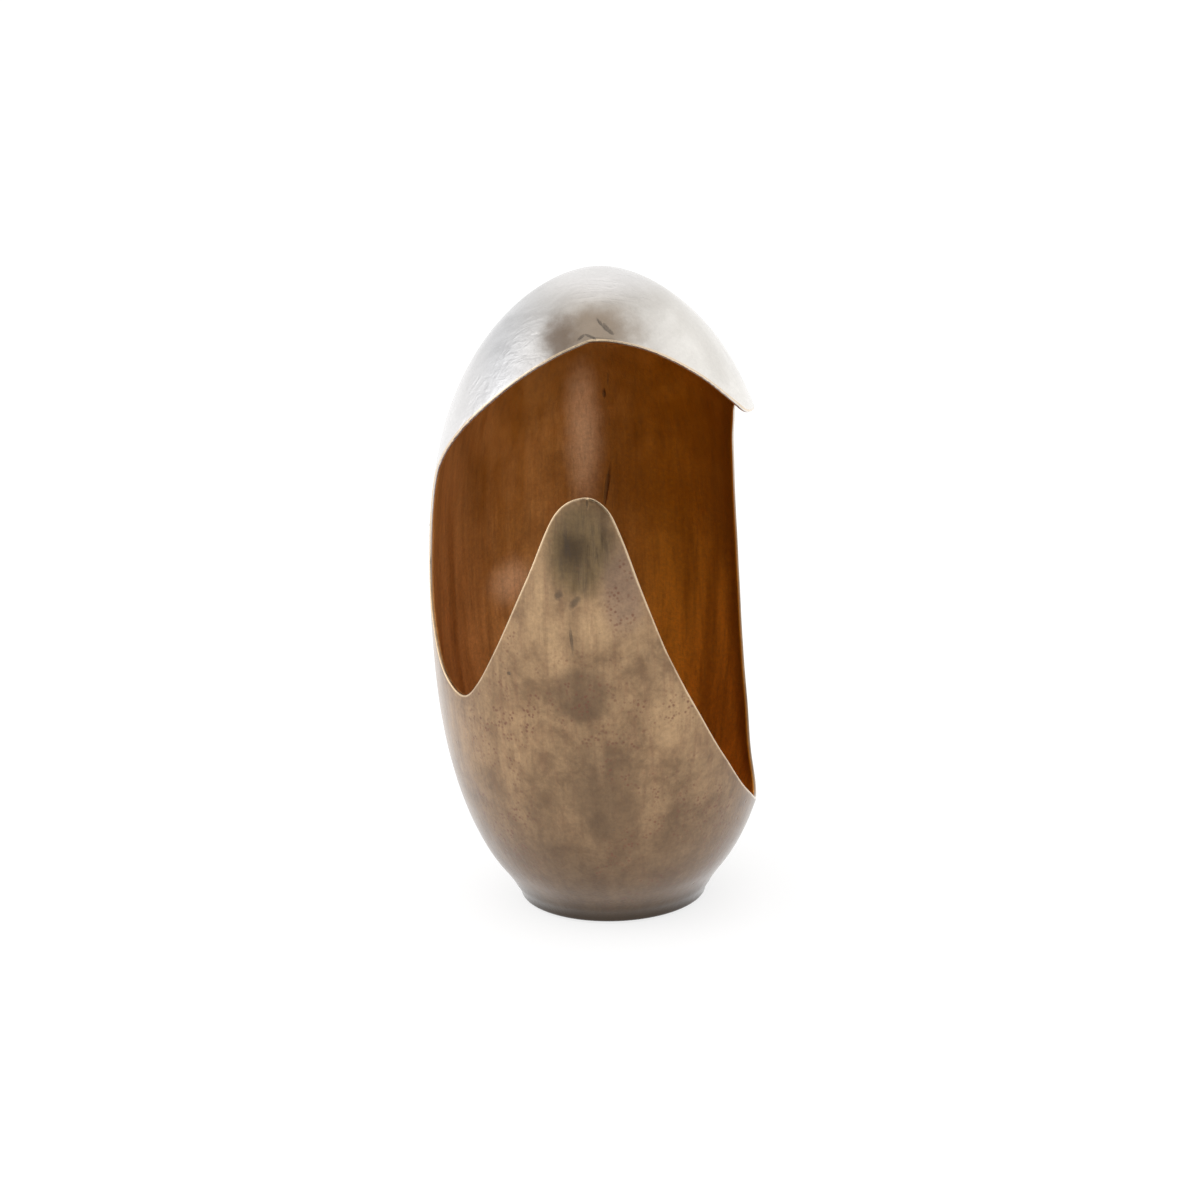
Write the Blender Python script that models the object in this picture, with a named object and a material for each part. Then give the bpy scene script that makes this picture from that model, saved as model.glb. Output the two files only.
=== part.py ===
"""Open-sided metal egg: a hooded shell on a small round foot, cast as two half shells.

The halves meet on the centre plane, x = 0, where a strip of brazing metal joins them all round.
A floor plate drops in through the side opening onto a ledge inside the foot, and a felt disc is
glued under the foot. The front, with the tall tongue, faces -Y, and the axis of the egg is Z.
Lengths are in metres. A "level" is a height as a share of its own zone: -1 is the table, 0 the
belly and +1 the crown, so the opening keeps its place when the egg changes size.
"""

import math

import bmesh
import bpy
import numpy as np

# Overall size
HEIGHT = 0.460
BELLY_RADIUS = 0.125
BELLY_HEIGHT = 0.219
WALL = 0.003

# Shape of the egg above and below the belly, as the powers of two superellipses
CROWN_POWERS = (2.65, 1.75)
BOWL_POWERS = (2.11, 3.10)
BOWL_OVERRUN = 0.003

# Foot
FOOT_RADIUS = 0.0655
FOOT_HEIGHT = 0.012
FOOT_FLARE = 0.35
FOOT_BLEND = 0.012
FOOT_EDGE = 0.0025
LEDGE_HEIGHT = 0.0075
LEDGE_WIDTH = 0.006

# Pieces that go with the shell
FLOOR_THICKNESS = 0.003
FLOOR_EDGE = 0.0006
FELT_THICKNESS = 0.0012
FELT_INSET = 0.003
SEAM_WIDTH = 0.0012
FIT_GAP = 0.0003

# How finely the round shapes are stepped
AROUND = 60
CROWN_ROWS = 13
BOWL_ROWS = 16
EDGE_ROWS = 3
STEPS_PER_POINT = 3
CUTTER_ROWS = 8
CUTTER_REACH = 0.012
SEAM_SPLIT_LEVEL = 0.70

# Edge of the opening: degrees round from the front (plus is to +X), and level.
# The hood's edge and the tongue's edge both run from the left end of the opening to its right end.
HOOD_EDGE = [
    (-88.5, 0.178),
    (-87.0, 0.303),
    (-82.0, 0.407),
    (-75.0, 0.473),
    (-61.0, 0.585),
    (-46.5, 0.684),
    (-33.5, 0.757),
    (-19.5, 0.811),
    (-6.0, 0.843),
    (2.0, 0.848),
    (13.5, 0.843),
    (27.0, 0.822),
    (40.0, 0.784),
    (53.5, 0.725),
    (67.5, 0.641),
    (77.0, 0.594),
    (93.0, 0.575),
    (109.0, 0.568),
    (121.0, 0.540),
    (126.5, 0.470),
    (130.0, 0.373),
    (131.8, 0.178),
]
TONGUE_EDGE = [
    (-88.5, 0.178),
    (-84.5, 0.080),
    (-77.0, -0.020),
    (-66.5, -0.150),
    (-53.5, -0.204),
    (-44.0, -0.142),
    (-33.0, 0.025),
    (-22.5, 0.218),
    (-13.5, 0.398),
    (-4.0, 0.4465),
    (3.5, 0.418),
    (8.5, 0.330),
    (15.0, 0.158),
    (23.2, -0.037),
    (32.5, -0.214),
    (44.5, -0.393),
    (62.0, -0.562),
    (88.0, -0.668),
    (111.0, -0.607),
    (122.5, -0.440),
    (129.5, -0.190),
    (131.8, 0.178),
]

FOOT_BOTTOM = FELT_THICKNESS + FIT_GAP
HALF_SEAM = SEAM_WIDTH / 2


def clear_scene():
    for thing in list(bpy.data.objects):
        bpy.data.objects.remove(thing, do_unlink=True)


def finish(name, colour, roughness, metallic):
    """A plain material for one kind of piece."""
    material = bpy.data.materials.new(name)
    material.use_nodes = True
    shader = material.node_tree.nodes["Principled BSDF"]
    shader.inputs["Base Color"].default_value = (*colour, 1.0)
    shader.inputs["Roughness"].default_value = roughness
    shader.inputs["Metallic"].default_value = metallic
    return material


# The egg's outer profile


def height_at(level):
    if level >= 0:
        return BELLY_HEIGHT + level * (HEIGHT - BELLY_HEIGHT)
    return BELLY_HEIGHT * (1 + level)


def bowl_radius(z):
    drop = (BELLY_HEIGHT - z) / (BELLY_HEIGHT + BOWL_OVERRUN)
    power, root = BOWL_POWERS
    return BELLY_RADIUS * (1 - drop**power) ** (1 / root)


def foot_radius(z):
    """The foot flares a little as it rises, and its bottom edge is rounded."""
    radius = FOOT_RADIUS + FOOT_FLARE * min(z, FOOT_HEIGHT)
    into_edge = max(0.0, FOOT_BOTTOM + FOOT_EDGE - z)
    return radius - FOOT_EDGE + math.sqrt(max(0.0, FOOT_EDGE**2 - into_edge**2))


def outer_radius(level):
    """Radius of the outer skin: the bowl runs into the foot through a soft hollow."""
    if level >= 0:
        power, root = CROWN_POWERS
        return BELLY_RADIUS * (1 - min(level, 1.0) ** power) ** (1 / root)
    z = max(height_at(level), FOOT_BOTTOM)
    bowl = bowl_radius(z)
    foot = foot_radius(z)
    overlap = max(FOOT_BLEND - abs(bowl - foot), 0.0) / FOOT_BLEND
    return max(bowl, foot) + FOOT_BLEND / 4 * overlap**2


def outward(level):
    """The outward direction across the profile, as (radial, up)."""
    if level > 0.9999:
        return 0.0, 1.0
    step = 0.0005
    above = min(level + step, 1.0)
    below = max(level - step, -1.0)
    rise = height_at(above) - height_at(below)
    widen = outer_radius(above) - outer_radius(below)
    length = math.hypot(rise, widen)
    return rise / length, -widen / length


def off_surface(level, distance):
    """Radius and height of the point that lies this far outside the egg's skin."""
    radial, up = outward(level)
    return outer_radius(level) + distance * radial, height_at(level) + distance * up


def skin_levels():
    """Rows of the skin from the crown down to the top of the foot's rounded edge."""
    quarter = math.pi / 2
    crown_power = 2 / CROWN_POWERS[0]
    crown = [math.sin(quarter * row / CROWN_ROWS) ** crown_power for row in range(1, CROWN_ROWS + 1)]
    bowl = [-math.sin(quarter * row / BOWL_ROWS) for row in range(BOWL_ROWS)]
    edge_top = (FOOT_BOTTOM + FOOT_EDGE) / BELLY_HEIGHT - 1
    return crown[::-1] + [level for level in bowl if level > edge_top] + [edge_top]


def outer_line():
    """Outer skin as (radius, height), from the crown down to the underside of the foot."""
    line = [(outer_radius(level), height_at(level)) for level in skin_levels()]
    line[0] = (0.0, HEIGHT)
    edge_radius = line[-1][0] - FOOT_EDGE
    for row in range(1, EDGE_ROWS + 1):
        turn = math.pi / 2 * row / EDGE_ROWS
        up = FOOT_EDGE * (1 - math.sin(turn))
        line.append((edge_radius + FOOT_EDGE * math.cos(turn), FOOT_BOTTOM + up))
    return line


def inner_line():
    """Inner skin as (radius, height), from the underside of the foot over the ledge to the crown."""
    skin = [off_surface(level, -WALL) for level in reversed(skin_levels())]
    skin[-1] = (0.0, HEIGHT - WALL)
    wall_above = [point for point in skin if point[1] > LEDGE_HEIGHT + FIT_GAP]
    ledge_outer = inner_radius(LEDGE_HEIGHT)
    ledge_inner = ledge_outer - LEDGE_WIDTH
    ledge = [(ledge_inner, FOOT_BOTTOM), (ledge_inner, LEDGE_HEIGHT), (ledge_outer, LEDGE_HEIGHT)]
    return ledge + wall_above


def inner_radius(z):
    """Radius of the inner skin at a height below the belly."""
    skin = [off_surface(level, -WALL) for level in reversed(skin_levels()) if level <= 0]
    radii, heights = zip(*skin)
    return float(np.interp(z, heights, radii))


def ring_line():
    """The wall's whole cross-section, from the outer crown round the foot to the inner crown."""
    return outer_line() + inner_line()


# The opening


def smooth_loop(points, steps):
    """Catmull-Rom curve through a closed loop of points."""
    knots = np.array(points)
    count = len(knots)
    curve = []
    for i in range(count):
        a, b, c, d = knots[i - 1], knots[i], knots[(i + 1) % count], knots[(i + 2) % count]
        for step in range(steps):
            t = step / steps
            bend = (2 * a - 5 * b + 4 * c - d) * t**2 + (3 * b - a - 3 * c + d) * t**3
            curve.append(b + ((c - a) * t + bend) / 2)
    return curve


def opening_rails():
    """The hood's and the tongue's edge as two matching runs of (degrees, level)."""
    loop = smooth_loop(HOOD_EDGE + TONGUE_EDGE[-2:0:-1], STEPS_PER_POINT)
    ends = (len(HOOD_EDGE) - 1) * STEPS_PER_POINT
    hood = loop[: ends + 1]
    tongue = [loop[0]] + loop[: ends - 1 : -1]
    return hood, tongue


def on_egg(degrees, level, distance):
    """Point in space that lies this far outside the skin, at an angle round from the front."""
    radius, z = off_surface(level, distance)
    angle = math.radians(degrees)
    return radius * math.sin(angle), -radius * math.cos(angle), z


def opening_cutter():
    """Curved block as wide as the opening, whose sides stand square to the egg's skin."""
    hood, tongue = opening_rails()
    mesh = bmesh.new()
    skins = []
    for distance in (CUTTER_REACH, -WALL - CUTTER_REACH):
        columns = []
        for upper, lower in zip(hood, tongue):
            rows = 1 if np.allclose(upper, lower) else CUTTER_ROWS + 1
            mix = np.linspace(0, 1, rows)[:, None] if rows > 1 else np.zeros((1, 1))
            points = upper + (lower - upper) * mix
            columns.append([mesh.verts.new(on_egg(*point, distance)) for point in points])
        skins.append(columns)

    for columns in skins:
        for left, right in zip(columns, columns[1:]):
            for row in range(CUTTER_ROWS):
                add_face(mesh, left, right, row)
    outside, inside = skins
    for i in range(len(hood) - 1):
        for row in (0, -1):
            mesh.faces.new([outside[i][row], outside[i + 1][row], inside[i + 1][row], inside[i][row]])
    return solid_from(mesh, "opening_cutter")


def add_face(mesh, left, right, row):
    """One face of a skin, between two columns: the end columns are single points."""
    if len(left) == 1:
        corners = [left[0], right[row + 1], right[row]]
    elif len(right) == 1:
        corners = [left[row], left[row + 1], right[0]]
    else:
        corners = [left[row], left[row + 1], right[row + 1], right[row]]
    mesh.faces.new(corners)


# Building the pieces


def solid_from(mesh, name):
    """Turns a bmesh into an object of its own with its faces pointing out."""
    bmesh.ops.recalc_face_normals(mesh, faces=mesh.faces)
    data = bpy.data.meshes.new(name)
    mesh.to_mesh(data)
    mesh.free()
    piece = bpy.data.objects.new(name, data)
    bpy.context.scene.collection.objects.link(piece)
    return piece


def as_cutter(piece):
    piece.hide_render = True
    piece.display_type = "WIRE"
    return piece


def cut(piece, other, operation):
    boolean = piece.modifiers.new(other.name, "BOOLEAN")
    boolean.operation = operation
    boolean.object = other
    boolean.solver = "EXACT"


def side_block(name, side):
    """Block that holds everything on one side of the seam, with room for the brazing strip."""
    near = HALF_SEAM + FIT_GAP
    far = 2 * BELLY_RADIUS
    bpy.ops.mesh.primitive_cube_add(size=1, location=(side * (near + far) / 2, 0, HEIGHT / 2))
    block = bpy.context.object
    block.name = name
    block.scale = (far - near, 4 * BELLY_RADIUS, 2 * HEIGHT)
    return as_cutter(block)


def half_shell(name, side, opening, material):
    """The wall turned round the axis, less the opening, cut back to one side of the seam."""
    data = bpy.data.meshes.new(name)
    line = ring_line()
    edges = [(i, i + 1) for i in range(len(line) - 1)]
    data.from_pydata([(radius, 0, z) for radius, z in line], edges, [])
    piece = bpy.data.objects.new(name, data)
    bpy.context.scene.collection.objects.link(piece)

    turned = piece.modifiers.new("turned", "SCREW")
    turned.steps = AROUND
    turned.render_steps = AROUND
    turned.use_merge_vertices = True
    turned.merge_threshold = 0.00005
    cut(piece, opening, "DIFFERENCE")
    cut(piece, side_block(name + "_side", side), "INTERSECT")
    data.materials.append(material)
    return piece


def seam_strip(name, outline, opening, material):
    """Flat strip of brazing metal on the centre plane, extruded from its (y, z) outline."""
    mesh = bmesh.new()
    corners = [mesh.verts.new((-HALF_SEAM, y, z)) for y, z in outline]
    face = mesh.faces.new(corners)
    raised = bmesh.ops.extrude_face_region(mesh, geom=[face])
    moved = [item for item in raised["geom"] if isinstance(item, bmesh.types.BMVert)]
    bmesh.ops.translate(mesh, verts=moved, vec=(SEAM_WIDTH, 0, 0))
    piece = solid_from(mesh, name)
    cut(piece, opening, "DIFFERENCE")
    piece.data.materials.append(material)
    return piece


def seam_outlines():
    """Outlines of the back strip, which goes over the hood, and of the front strip up to the tongue."""
    split = height_at(SEAM_SPLIT_LEVEL)
    outer = outer_line()
    inner = inner_line()
    crown_out = [(-radius, z) for radius, z in reversed(outer[1:]) if z > split]
    crown_in = [(-radius, z) for radius, z in inner[:-1] if z > split]
    back = crown_out + outer + inner + crown_in[::-1]
    front = [(-radius, z) for radius, z in outer + inner if z < split]
    return back, front


def disc(name, radius, bottom, thickness, edge, material):
    """Round plate on the axis, with a small bevel where an edge width is given."""
    middle = bottom + thickness / 2
    place = (0, 0, middle)
    bpy.ops.mesh.primitive_cylinder_add(vertices=AROUND, radius=radius, depth=thickness, location=place)
    piece = bpy.context.object
    piece.name = name
    if edge:
        bevel = piece.modifiers.new("edge", "BEVEL")
        bevel.width = edge
        bevel.segments = 1
        bevel.limit_method = "ANGLE"
    piece.data.materials.append(material)
    return piece


def smooth_shade(piece):
    piece.data.shade_smooth()
    piece.data.set_sharp_from_angle(angle=math.radians(35))


def main():
    clear_scene()
    brass = finish("antique brass", (0.42, 0.30, 0.18), 0.34, 1.0)
    braze = finish("dressed braze", (0.45, 0.31, 0.16), 0.42, 1.0)
    plate_brass = finish("lacquered sheet brass", (0.40, 0.22, 0.08), 0.40, 1.0)
    felt = finish("black felt", (0.012, 0.011, 0.010), 0.95, 0.0)

    opening = as_cutter(opening_cutter())
    back_outline, front_outline = seam_outlines()
    floor_bottom = LEDGE_HEIGHT + FIT_GAP
    floor_radius = inner_radius(floor_bottom) - FIT_GAP
    felt_radius = outer_line()[-1][0] - FELT_INSET

    pieces = [
        half_shell("left_half_shell", -1, opening, brass),
        half_shell("right_half_shell", 1, opening, brass),
        seam_strip("hood_and_back_seam", back_outline, opening, braze),
        seam_strip("bowl_seam", front_outline, opening, braze),
        disc("floor_plate", floor_radius, floor_bottom, FLOOR_THICKNESS, FLOOR_EDGE, plate_brass),
        disc("foot_felt", felt_radius, 0.0, FELT_THICKNESS, 0.0, felt),
    ]
    for piece in pieces:
        smooth_shade(piece)


main()
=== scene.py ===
"""Finished look of the open-sided brass egg: two cast half shells, their brazed seam, floor and felt."""

import math

import bmesh
import bpy
import numpy as np
from mathutils import Matrix, Vector
from mathutils import noise as noise3
from mathutils.bvhtree import BVHTree
from mathutils.kdtree import KDTree


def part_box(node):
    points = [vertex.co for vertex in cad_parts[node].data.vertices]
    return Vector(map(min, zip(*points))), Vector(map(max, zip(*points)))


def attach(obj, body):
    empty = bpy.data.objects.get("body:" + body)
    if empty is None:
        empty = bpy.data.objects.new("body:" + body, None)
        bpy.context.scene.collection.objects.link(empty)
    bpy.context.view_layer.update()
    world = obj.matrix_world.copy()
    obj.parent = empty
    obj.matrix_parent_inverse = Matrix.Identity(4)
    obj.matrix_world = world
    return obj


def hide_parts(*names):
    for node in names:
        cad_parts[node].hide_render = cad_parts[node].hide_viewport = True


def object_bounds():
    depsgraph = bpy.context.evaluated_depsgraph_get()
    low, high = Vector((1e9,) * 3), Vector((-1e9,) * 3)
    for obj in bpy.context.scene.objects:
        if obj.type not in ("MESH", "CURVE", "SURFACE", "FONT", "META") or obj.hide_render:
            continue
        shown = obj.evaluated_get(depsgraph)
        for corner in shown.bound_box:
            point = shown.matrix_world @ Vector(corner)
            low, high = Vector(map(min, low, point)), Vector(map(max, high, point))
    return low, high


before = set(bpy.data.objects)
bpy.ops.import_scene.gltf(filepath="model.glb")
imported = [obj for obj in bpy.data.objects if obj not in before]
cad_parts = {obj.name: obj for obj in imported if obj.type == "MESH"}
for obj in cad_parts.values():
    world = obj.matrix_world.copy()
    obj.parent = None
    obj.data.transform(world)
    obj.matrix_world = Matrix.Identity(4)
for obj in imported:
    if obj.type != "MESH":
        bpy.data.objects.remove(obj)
CAD_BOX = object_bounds()

# The egg, from the frame
HEIGHT = CAD_BOX[1].z
BELLY_RADIUS = (CAD_BOX[1].y - CAD_BOX[0].y) / 2
FOOT_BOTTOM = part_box("left_half_shell")[0].z
FLOOR_LOW, FLOOR_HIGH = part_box("floor_plate")
FELT_LOW, FELT_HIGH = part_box("foot_felt")
HALF_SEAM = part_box("bowl_seam")[1].x

# The egg's own curves and the fits inside its foot
BELLY_HEIGHT = 0.219
WALL = 0.003
CROWN_POWERS = (2.65, 1.75)
BOWL_POWERS = (2.11, 3.10)
BOWL_OVERRUN = 0.003
FOOT_RADIUS = 0.0655
FOOT_HEIGHT = 0.012
FOOT_FLARE = 0.35
FOOT_BLEND = 0.012
FOOT_EDGE = 0.0025
FLANGE_RADIUS = 0.0590
FLANGE_RING = 0.0018
FLOOR_GAP = 0.0003
FLOOR_ROUNDING = 0.0007
FLOOR_DISH = 0.0004
DISH_RADIUS = 0.058
FELT_ROUNDING = 0.0004
TONGUE_TOP_LEVEL = 0.6

# Edge of the opening: degrees round from the front (plus is to +X), and level,
# which is -1 at the table, 0 at the belly and +1 at the crown.
HOOD_EDGE = [
    (-88.5, 0.178),
    (-87.0, 0.303),
    (-82.0, 0.407),
    (-75.0, 0.473),
    (-61.0, 0.585),
    (-46.5, 0.684),
    (-33.5, 0.757),
    (-19.5, 0.811),
    (-6.0, 0.843),
    (2.0, 0.848),
    (13.5, 0.843),
    (27.0, 0.822),
    (40.0, 0.784),
    (53.5, 0.725),
    (67.5, 0.641),
    (77.0, 0.594),
    (93.0, 0.575),
    (109.0, 0.568),
    (121.0, 0.540),
    (126.5, 0.470),
    (130.0, 0.373),
    (131.8, 0.178),
]
TONGUE_EDGE = [
    (-88.5, 0.178),
    (-84.5, 0.080),
    (-77.0, -0.020),
    (-66.5, -0.150),
    (-53.5, -0.204),
    (-44.0, -0.142),
    (-33.0, 0.025),
    (-22.5, 0.218),
    (-13.5, 0.398),
    (-4.0, 0.4465),
    (3.5, 0.418),
    (8.5, 0.330),
    (15.0, 0.158),
    (23.2, -0.037),
    (32.5, -0.214),
    (44.5, -0.393),
    (62.0, -0.562),
    (88.0, -0.668),
    (111.0, -0.607),
    (122.5, -0.440),
    (129.5, -0.190),
    (131.8, 0.178),
]

# How finely the castings and the discs are modelled
STEPS_PER_POINT = 8
BACK_COLUMNS = 106
FOOT_ROWS = 12
BOWL_ROWS = 62
CROWN_ROWS = 68
DISC_SIDES = 144
DISC_INSETS = (0.0015, 0.012, 0.020, 0.020)

# Round the opening: the band of faces along its edge, and the edge's rounding
RIM_BAND = 0.004
RIM_ROUNDING = 0.0007

# Edges sharper than the first are rounded off, and faces that meet flatter than the second shade as one
SHARP = math.radians(60)
SMOOTH = math.radians(35)

# Points closer than these become one, where the sheet is joined and where the saw cuts
WELD = 0.00001
SAW_SNAP = 0.0000001

# The crown's middle, where the columns run together: its radius, and the height it lies above
CROWN_PATCH = 0.030
CROWN_LOW = 0.435

# The stored rim value is 1 up to the slack from the opening's edge, and 0 a reach further on
RIM_SLACK = 0.0008
RIM_REACH = 0.030

# How uneven the castings are: waves in cycles per metre, depths in metres, and dents as centre, size, depth.
# Under the first height of TRUE_FOOT the foot is turned true, and above the second the skin is fully uneven.
SLOW_WAVES = 13.0
SLOW_DEPTH = 0.0009
QUICK_WAVES = 38.0
QUICK_DEPTH = 0.00025
QUICK_SHIFT = Vector((7, 3, 5))
DENT_FALL = 1.6
TRUE_FOOT = (0.010, 0.060)
DENTS = [
    (Vector((-0.020, -0.058, 0.430)), Vector((0.020, 0.030, 0.016)), 0.0014),
    (Vector((0.022, -0.060, 0.428)), Vector((0.018, 0.030, 0.014)), 0.0008),
    (Vector((-0.010, -0.120, 0.300)), Vector((0.022, 0.030, 0.020)), 0.0006),
    (Vector((-0.012, -0.124, 0.190)), Vector((0.030, 0.030, 0.024)), 0.0005),
    (Vector((0.050, 0.095, 0.330)), Vector((0.035, 0.035, 0.030)), 0.0008),
]


# Small helpers


def deselect_all():
    if bpy.context.mode != "OBJECT":
        bpy.ops.object.mode_set(mode="OBJECT")
    bpy.ops.object.select_all(action="DESELECT")


def select_only(piece):
    deselect_all()
    piece.select_set(True)
    bpy.context.view_layer.objects.active = piece


def start_edit(piece, kind):
    """Edit mode on one piece with nothing selected."""
    select_only(piece)
    bpy.ops.object.mode_set(mode="EDIT")
    bpy.ops.mesh.select_mode(type=kind)
    bpy.ops.mesh.select_all(action="DESELECT")


def end_edit():
    bpy.ops.object.mode_set(mode="OBJECT")


def pick(piece, parts, wanted):
    """Selects the vertices, edges or faces of a piece in edit mode that a rule wants."""
    mesh = bmesh.from_edit_mesh(piece.data)
    for part in getattr(mesh, parts):
        if wanted(part):
            part.select_set(True)
    mesh.select_flush_mode()
    bmesh.update_edit_mesh(piece.data)


def points_of(piece):
    points = np.empty(len(piece.data.vertices) * 3, np.float32)
    piece.data.vertices.foreach_get("co", points)
    return points.reshape(-1, 3).astype(float)


def put_points(piece, points):
    piece.data.vertices.foreach_set("co", points.astype(np.float32).ravel())
    piece.data.update()


def apply_modifier(piece, modifier):
    select_only(piece)
    bpy.ops.object.modifier_apply(modifier=modifier.name)


def smooth_step(low, high, values):
    share = np.clip((values - low) / (high - low), 0.0, 1.0)
    return share * share * (3 - 2 * share)


# The egg's profile


def height_at(level):
    level = np.asarray(level, float)
    above = BELLY_HEIGHT + level * (HEIGHT - BELLY_HEIGHT)
    return np.where(level >= 0, above, BELLY_HEIGHT * (1 + level))


def level_at(z):
    z = np.asarray(z, float)
    above = (z - BELLY_HEIGHT) / (HEIGHT - BELLY_HEIGHT)
    return np.where(z >= BELLY_HEIGHT, above, z / BELLY_HEIGHT - 1)


def skin_radius(z):
    """Radius of the outer skin at a height above the foot's rounded edge."""
    z = np.asarray(z, float)
    rise = np.clip((z - BELLY_HEIGHT) / (HEIGHT - BELLY_HEIGHT), 0.0, 1.0)
    drop = np.clip((BELLY_HEIGHT - z) / (BELLY_HEIGHT + BOWL_OVERRUN), 0.0, 1.0)
    crown = BELLY_RADIUS * (1 - rise ** CROWN_POWERS[0]) ** (1 / CROWN_POWERS[1])
    bowl = BELLY_RADIUS * (1 - drop ** BOWL_POWERS[0]) ** (1 / BOWL_POWERS[1])
    foot = FOOT_RADIUS + FOOT_FLARE * np.minimum(z, FOOT_HEIGHT)
    overlap = np.maximum(FOOT_BLEND - np.abs(bowl - foot), 0.0) / FOOT_BLEND
    lower = np.maximum(bowl, foot) + FOOT_BLEND / 4 * overlap**2
    return np.where(z >= BELLY_HEIGHT, crown, lower)


def on_egg(degrees, z, radius=None):
    angle = np.radians(degrees)
    radius = skin_radius(z) if radius is None else radius
    return np.stack([radius * np.sin(angle), -radius * np.cos(angle), z + 0 * angle], -1)


# The opening's edge


def smooth_loop(points, steps):
    """Catmull-Rom curve through a closed loop of points."""
    knots = np.array(points)
    share = (np.arange(steps) / steps)[:, None]
    curve = []
    for i in range(len(knots)):
        a, b, c, d = knots[i - 1], knots[i], knots[(i + 1) % len(knots)], knots[(i + 2) % len(knots)]
        bend = (2 * a - 5 * b + 4 * c - d) * share**2 + (3 * b - a - 3 * c + d) * share**3
        curve.append(b + ((c - a) * share + bend) / 2)
    return np.concatenate(curve)


def rim_loop():
    """The opening's edge as points in space, from the left end over the hood and back by the tongue.
    The two end points are left out, so the loop has as many stations on the hood as on the tongue."""
    loop = smooth_loop(HOOD_EDGE + TONGUE_EDGE[-2:0:-1], STEPS_PER_POINT)
    half = (len(HOOD_EDGE) - 1) * STEPS_PER_POINT
    keep = np.r_[1:half, half + 1 : len(loop)]
    loop = loop[keep]
    return on_egg(loop[:, 0], height_at(loop[:, 1]))


def band_loop(rim):
    """The same loop moved back from the edge along the skin, by the width of the rim band."""
    along = np.roll(rim, -1, 0) - np.roll(rim, 1, 0)
    z = rim[:, 2]
    nudge = 0.0004
    slope = (skin_radius(z + nudge) - skin_radius(z - nudge)) / (2 * nudge)
    radial = rim[:, :2] / np.linalg.norm(rim[:, :2], axis=1)[:, None]
    normal = np.column_stack([radial, -slope])
    away = np.cross(normal, along)
    away /= np.linalg.norm(away, axis=1)[:, None]
    moved = rim + RIM_BAND * away
    degrees = np.degrees(np.arctan2(moved[:, 0], -moved[:, 1]))
    return degrees, moved[:, 2]


# The castings


def foot_line():
    """Underside of the foot, its rounded edge and its side, as (radius, height)."""
    turns = np.radians([90, 67.5, 45, 22.5, 0])
    edge_z = FOOT_BOTTOM + FOOT_EDGE * (1 - np.sin(turns))
    edge_top = FOOT_BOTTOM + FOOT_EDGE
    edge_radius = float(skin_radius(edge_top)) - FOOT_EDGE + FOOT_EDGE * np.cos(turns)
    side_z = np.linspace(edge_top, 2.2 * FOOT_HEIGHT, FOOT_ROWS)[1:]
    flange = [FLANGE_RADIUS, FLANGE_RADIUS + FLANGE_RING]
    radius = np.concatenate([flange, edge_radius, skin_radius(side_z)])
    z = np.concatenate([[FOOT_BOTTOM, FOOT_BOTTOM], edge_z, side_z])
    return radius, z


def skin_grid(band_degrees, band_z):
    """Degrees, radius and height of every crossing of rows and columns on the outer skin.
    Columns from 0 to the last station stand under and over the opening; the rest go round the back."""
    stations = len(band_z) // 2
    hood_deg, hood_z = band_degrees[:stations], band_z[:stations]
    tongue_deg, tongue_z = band_degrees[stations:][::-1], band_z[stations:][::-1]
    foot_radius, foot_z = foot_line()

    # Lower rows: the foot, then the bowl up to the tongue's band
    even = np.linspace(tongue_deg[0], tongue_deg[-1], stations)
    share = np.linspace(0, 1, BOWL_ROWS + 1)[1:]
    settle = 1 - smooth_step(0.0, 1.0, 1 - share)
    bowl_z = foot_z[-1] + np.outer(share, tongue_z - foot_z[-1])
    bowl_deg = even + np.outer(settle, tongue_deg - even)
    lower_z = np.vstack([np.repeat(foot_z[:, None], stations, 1), bowl_z])
    lower_deg = np.vstack([np.repeat(even[None], len(foot_z), 0), bowl_deg])
    lower_radius = skin_radius(lower_z)
    lower_radius[: len(foot_z)] = foot_radius[:, None]

    # Upper rows: from the hood's band to the crown, evenly by the crown curve's own angle
    even = np.linspace(hood_deg[0], hood_deg[-1], stations)
    power = CROWN_POWERS[0] / 2
    start = np.arcsin(level_at(hood_z) ** power)
    share = np.linspace(0, 1, CROWN_ROWS + 1)
    turn = start + np.outer(share, math.pi / 2 - start)
    upper_z = height_at(np.sin(turn) ** (1 / power))
    upper_deg = hood_deg + np.outer(smooth_step(0.0, 1.0, share), even - hood_deg)
    upper_radius = skin_radius(upper_z)
    upper_radius[-1] = 0.0

    degrees = np.vstack([lower_deg, upper_deg])
    z = np.vstack([lower_z, upper_z])
    radius = np.vstack([lower_radius, upper_radius])

    # Round the back, from the right end of the opening to its left end
    mix = np.linspace(0, 1, BACK_COLUMNS + 1)[1:]
    back_deg = degrees[:, -1:] + (degrees[:, :1] + 360 - degrees[:, -1:]) * mix
    back_z = z[:, -1:] + (z[:, :1] - z[:, -1:]) * mix
    back_radius = skin_radius(back_z)
    back_radius[: len(foot_z)] = foot_radius[:, None]
    back_radius[-1] = 0.0
    split_row = len(lower_z)
    everything = [np.hstack(pair) for pair in ((degrees, back_deg), (radius, back_radius), (z, back_z))]
    return everything, stations, split_row


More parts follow.
